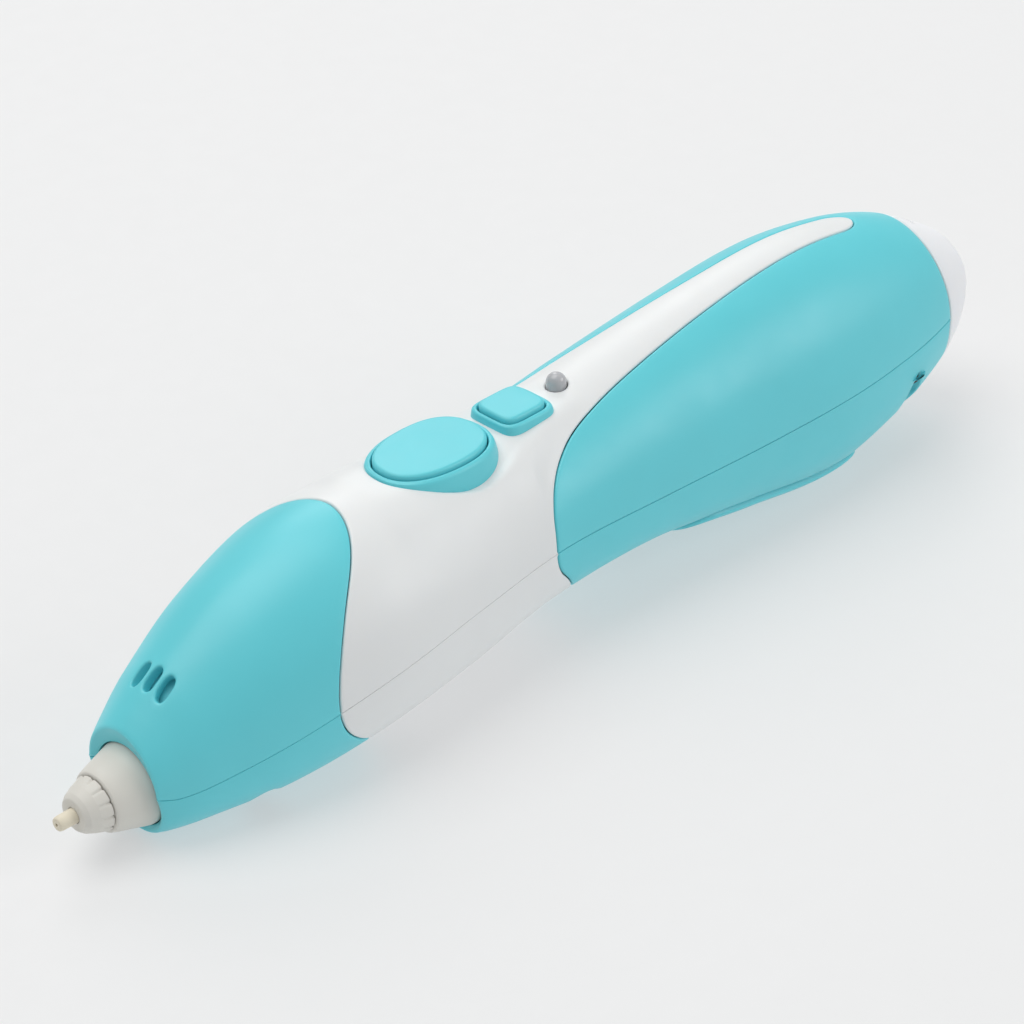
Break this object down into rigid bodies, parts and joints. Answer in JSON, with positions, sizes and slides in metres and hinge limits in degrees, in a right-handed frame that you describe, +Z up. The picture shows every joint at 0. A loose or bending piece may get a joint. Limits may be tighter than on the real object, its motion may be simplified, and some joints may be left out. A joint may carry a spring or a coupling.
{
  "type": "three d pen",
  "caption": "Hand-held 3-D drawing pen with a waisted two-tone case, heated nozzle, two push buttons, lamp and internal filament drive.",
  "frame": {"origin": "centre of the pen's length and width, on the surface it rests on", "axes": "+X from the nozzle to the tail, +Y across, +Z up from the resting surface"},
  "size_m": [0.177, 0.0342, 0.0384],
  "materials": {
    "teal": "satin moulded plastic",
    "white": "satin moulded plastic",
    "tail_white": "slightly translucent moulded plastic",
    "nozzle": "heat-resistant moulded plastic",
    "ceramic": "fired ceramic",
    "black": "moulded plastic",
    "tube": "drawn fluoroplastic",
    "lamp": "clear moulded epoxy",
    "board": "coated laminate",
    "brass": "turned",
    "steel": "turned",
    "cell": "shrink wrap"
  },
  "bodies": {
    "pen_body": {"nose_cover_upper": "teal", "nose_cover_lower": "teal", "upper_housing": "white", "lower_housing": "white", "rear_cover_upper": "teal", "rear_cover_lower": "teal", "battery_cover": "teal", "tail_cap": "tail_white", "nozzle_collar": "nozzle", "nozzle_guard": "nozzle", "nozzle_tip": "ceramic", "heater_barrel": "brass", "heater_sleeve": "ceramic", "thermistor": "lamp", "heat_break": "black", "nozzle_carrier": "black", "guide_tube": "tube", "inlet_tube": "tube", "feed_bezel": "teal", "feed_switch": "black", "power_bezel": "teal", "power_switch": "black", "status_led": "lamp", "led_spacer": "white", "control_board": "board", "drive_frame": "black", "drive_motor": "steel", "planetary_gearbox": "steel", "axle_bearing_left": "brass", "axle_bearing_right": "brass", "lever_pivot_pin": "steel", "lever_spring": "steel", "battery_cell": "cell", "charge_board": "board", "charge_socket": "steel", "nose_screw_left": "steel", "nose_screw_right": "steel", "middle_screw_left": "steel", "middle_screw_right": "steel", "rear_screw_left": "steel", "rear_screw_right": "steel", "board_screw_front": "steel", "board_screw_rear": "steel", "frame_screw_left": "steel", "frame_screw_right": "steel"},
    "feed_button": {"feed_button": "teal", "feed_plunger": "white"},
    "power_button": {"power_button": "teal", "power_plunger": "white"},
    "drive": {"cross_axle": "steel", "drive_wheel": "steel", "bevel_wheel": "brass"},
    "pinion": {"output_shaft": "steel", "bevel_pinion": "brass"},
    "lever": {"idler_lever": "black", "idler_pin": "steel"},
    "idler": {"idler_bearing": "steel"}
  },
  "joints": [
    {"name": "feed_press", "type": "slide", "parent": "pen_body", "child": "feed_button", "axis": [0, 0, -1], "range_m": [0, 0.0008], "stiffness_N_per_m": 1200, "springref_m": -0.001},
    {"name": "power_press", "type": "slide", "parent": "pen_body", "child": "power_button", "axis": [0, 0, -1], "range_m": [0, 0.0006], "stiffness_N_per_m": 1500, "springref_m": -0.0008},
    {"name": "drive_spin", "type": "hinge", "parent": "pen_body", "child": "drive", "pos_m": [0.0175, 0, 0.0235], "axis": [0, 1, 0], "continuous": true},
    {"name": "pinion_spin", "type": "hinge", "parent": "pen_body", "child": "pinion", "pos_m": [0.0215, 0.0055, 0.0235], "axis": [1, 0, 0], "continuous": true},
    {"name": "lever_swing", "type": "hinge", "parent": "pen_body", "child": "lever", "pos_m": [0.01, 0, 0.01225], "axis": [0, 1, 0], "range_deg": [0, 6], "stiffness_Nm_per_rad": 0.02, "springref_deg": -20.05, "deforming": ["lever_spring"]},
    {"name": "idler_spin", "type": "hinge", "parent": "lever", "child": "idler", "pos_m": [0.0175, 0, 0.01225], "axis": [0, 1, 0], "continuous": true}
  ],
  "couplings": [
    {"joint": "pinion_spin", "follows": "drive_spin", "ratio": 1.5},
    {"joint": "idler_spin", "follows": "drive_spin", "ratio": -1.7857}
  ]
}
